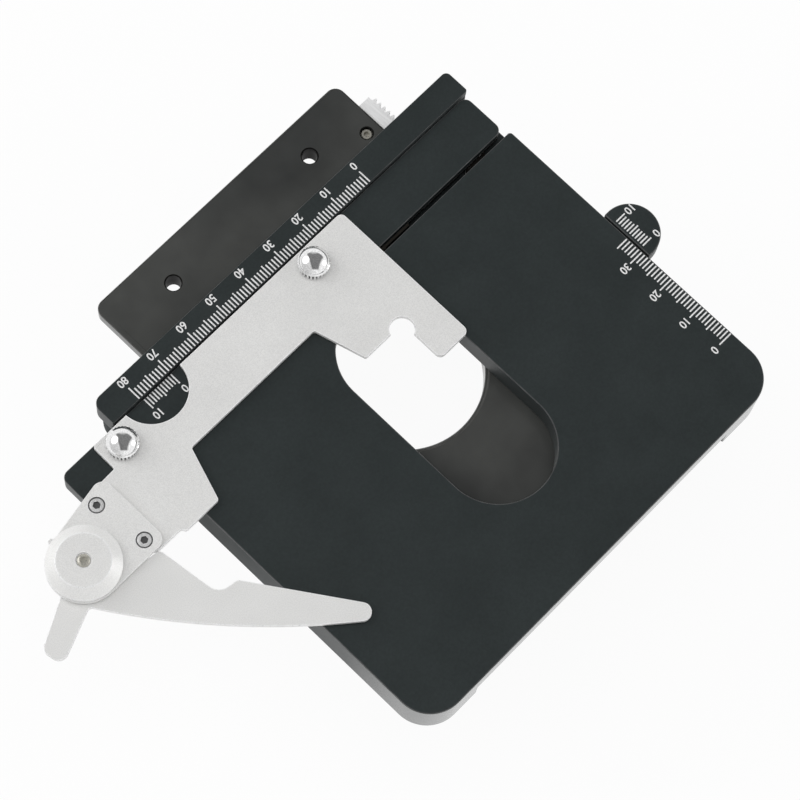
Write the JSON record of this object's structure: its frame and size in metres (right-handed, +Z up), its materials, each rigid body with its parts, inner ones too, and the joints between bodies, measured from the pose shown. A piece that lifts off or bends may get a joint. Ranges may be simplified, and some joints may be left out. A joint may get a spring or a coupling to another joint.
{
  "type": "mechanical microscope stage",
  "caption": "Two-layer mechanical microscope stage: tongue plate with light hole, sliding stage plate with slot, scale bars, coaxial rack drive and sprung slide holder.",
  "frame": {"origin": "middle of the tongue's mounting face, on the underside, between its two screw holes", "axes": "+Z up, out of the stage's top; +Y from the stage to the tongue's back edge; +X to the side of the drive column"},
  "size_m": [0.1842, 0.1335, 0.0647],
  "materials": {
    "black_coat": "satin black coat",
    "grey_gloss": "glossy dark grey",
    "satin_steel": "satin, fine grain",
    "bright_chrome": "bright",
    "dull_steel": "ground",
    "brass": "machined",
    "nylon": "matt"
  },
  "bodies": {
    "base": {"base_plate": "grey_gloss", "fixed_rail_left": "dull_steel", "fixed_rail_right": "dull_steel", "y_rack": "satin_steel", "y_rack_screw_front": "dull_steel", "y_rack_screw_back": "dull_steel", "y_vernier": "black_coat", "y_vernier_screw_front": "dull_steel", "y_vernier_screw_back": "dull_steel", "tongue_screw": "dull_steel"},
    "y_cage_left": {"y_cage_left": "brass", "y_ball_left_1": "dull_steel", "y_ball_left_2": "dull_steel", "y_ball_left_3": "dull_steel", "y_ball_left_4": "dull_steel"},
    "y_cage_right": {"y_cage_right": "brass", "y_ball_right_1": "dull_steel", "y_ball_right_2": "dull_steel", "y_ball_right_3": "dull_steel", "y_ball_right_4": "dull_steel"},
    "upper": {"stage_plate": "black_coat", "scale_bar": "black_coat", "scale_bar_screw_left": "dull_steel", "scale_bar_screw_right": "dull_steel", "moving_rail_left": "dull_steel", "moving_rail_right": "dull_steel", "drive_housing": "black_coat", "housing_screw_left": "dull_steel", "housing_screw_right": "dull_steel"},
    "x_cage": {"x_cage": "brass", "x_ball_1": "dull_steel", "x_ball_2": "dull_steel", "x_ball_3": "dull_steel", "x_ball_4": "dull_steel"},
    "carriage": {"carriage_bar": "black_coat", "x_rack": "dull_steel", "holder_sheet": "satin_steel", "cover_plate": "satin_steel", "cover_screw_back": "satin_steel", "cover_screw_front": "satin_steel", "pivot_bush": "brass", "torsion_spring": "dull_steel"},
    "finger": {"finger": "satin_steel", "pivot_pin": "dull_steel", "spring_cap": "satin_steel", "cap_screw": "dull_steel"},
    "thumbscrew_left": {"thumbscrew_left": "bright_chrome"},
    "thumbscrew_right": {"thumbscrew_right": "bright_chrome"},
    "x_drive": {"x_shaft": "dull_steel", "x_pinion": "brass", "x_knob": "black_coat", "x_knob_screw": "dull_steel", "knob_washer": "nylon"},
    "y_drive": {"y_sleeve": "dull_steel", "y_pinion": "brass", "y_knob": "black_coat", "y_knob_screw": "dull_steel"}
  },
  "joints": [
    {"name": "y_slide", "type": "slide", "parent": "base", "child": "upper", "axis": [0, 1, 0], "range_m": [-0.004, 0.031]},
    {"name": "y_cage_left_slide", "type": "slide", "parent": "base", "child": "y_cage_left", "axis": [0, 1, 0], "range_m": [-0.0021, 0.0156]},
    {"name": "y_cage_right_slide", "type": "slide", "parent": "base", "child": "y_cage_right", "axis": [0, 1, 0], "range_m": [-0.0021, 0.0156]},
    {"name": "x_slide", "type": "slide", "parent": "upper", "child": "carriage", "axis": [1, 0, 0], "range_m": [-0.0096, 0.0704]},
    {"name": "x_cage_slide", "type": "slide", "parent": "upper", "child": "x_cage", "axis": [1, 0, 0], "range_m": [-0.0049, 0.0353]},
    {"name": "x_knob_turn", "type": "hinge", "parent": "upper", "child": "x_drive", "pos_m": [0.051, -0.0346, 0.0153], "axis": [0, 0, 1], "range_deg": [-1010, 139]},
    {"name": "y_knob_turn", "type": "hinge", "parent": "upper", "child": "y_drive", "pos_m": [0.051, -0.0346, 0.0153], "axis": [0, 0, 1], "range_deg": [-59, 446]},
    {"name": "finger_swing", "type": "hinge", "parent": "carriage", "child": "finger", "pos_m": [-0.0916, -0.0385, 0.0153], "axis": [0, 0, -1], "range_deg": [0, 26], "stiffness_Nm_per_rad": 0.1, "springref_deg": -28.65},
    {"name": "thumbscrew_left_turn", "type": "hinge", "parent": "carriage", "child": "thumbscrew_left", "pos_m": [-0.0642, -0.0235, 0.0153], "axis": [0, 0, 1], "range_deg": [0, 360]},
    {"name": "thumbscrew_right_turn", "type": "hinge", "parent": "carriage", "child": "thumbscrew_right", "pos_m": [0.0012, -0.0235, 0.0153], "axis": [0, 0, 1], "range_deg": [0, 360]}
  ],
  "couplings": [
    {"joint": "y_cage_left_slide", "follows": "y_slide", "ratio": 0.5},
    {"joint": "y_cage_right_slide", "follows": "y_slide", "ratio": 0.5},
    {"joint": "y_knob_turn", "follows": "y_slide", "rad_per_m": 250},
    {"joint": "x_cage_slide", "follows": "x_slide", "ratio": 0.5},
    {"joint": "x_knob_turn", "follows": "x_slide", "rad_per_m": -250}
  ]
}
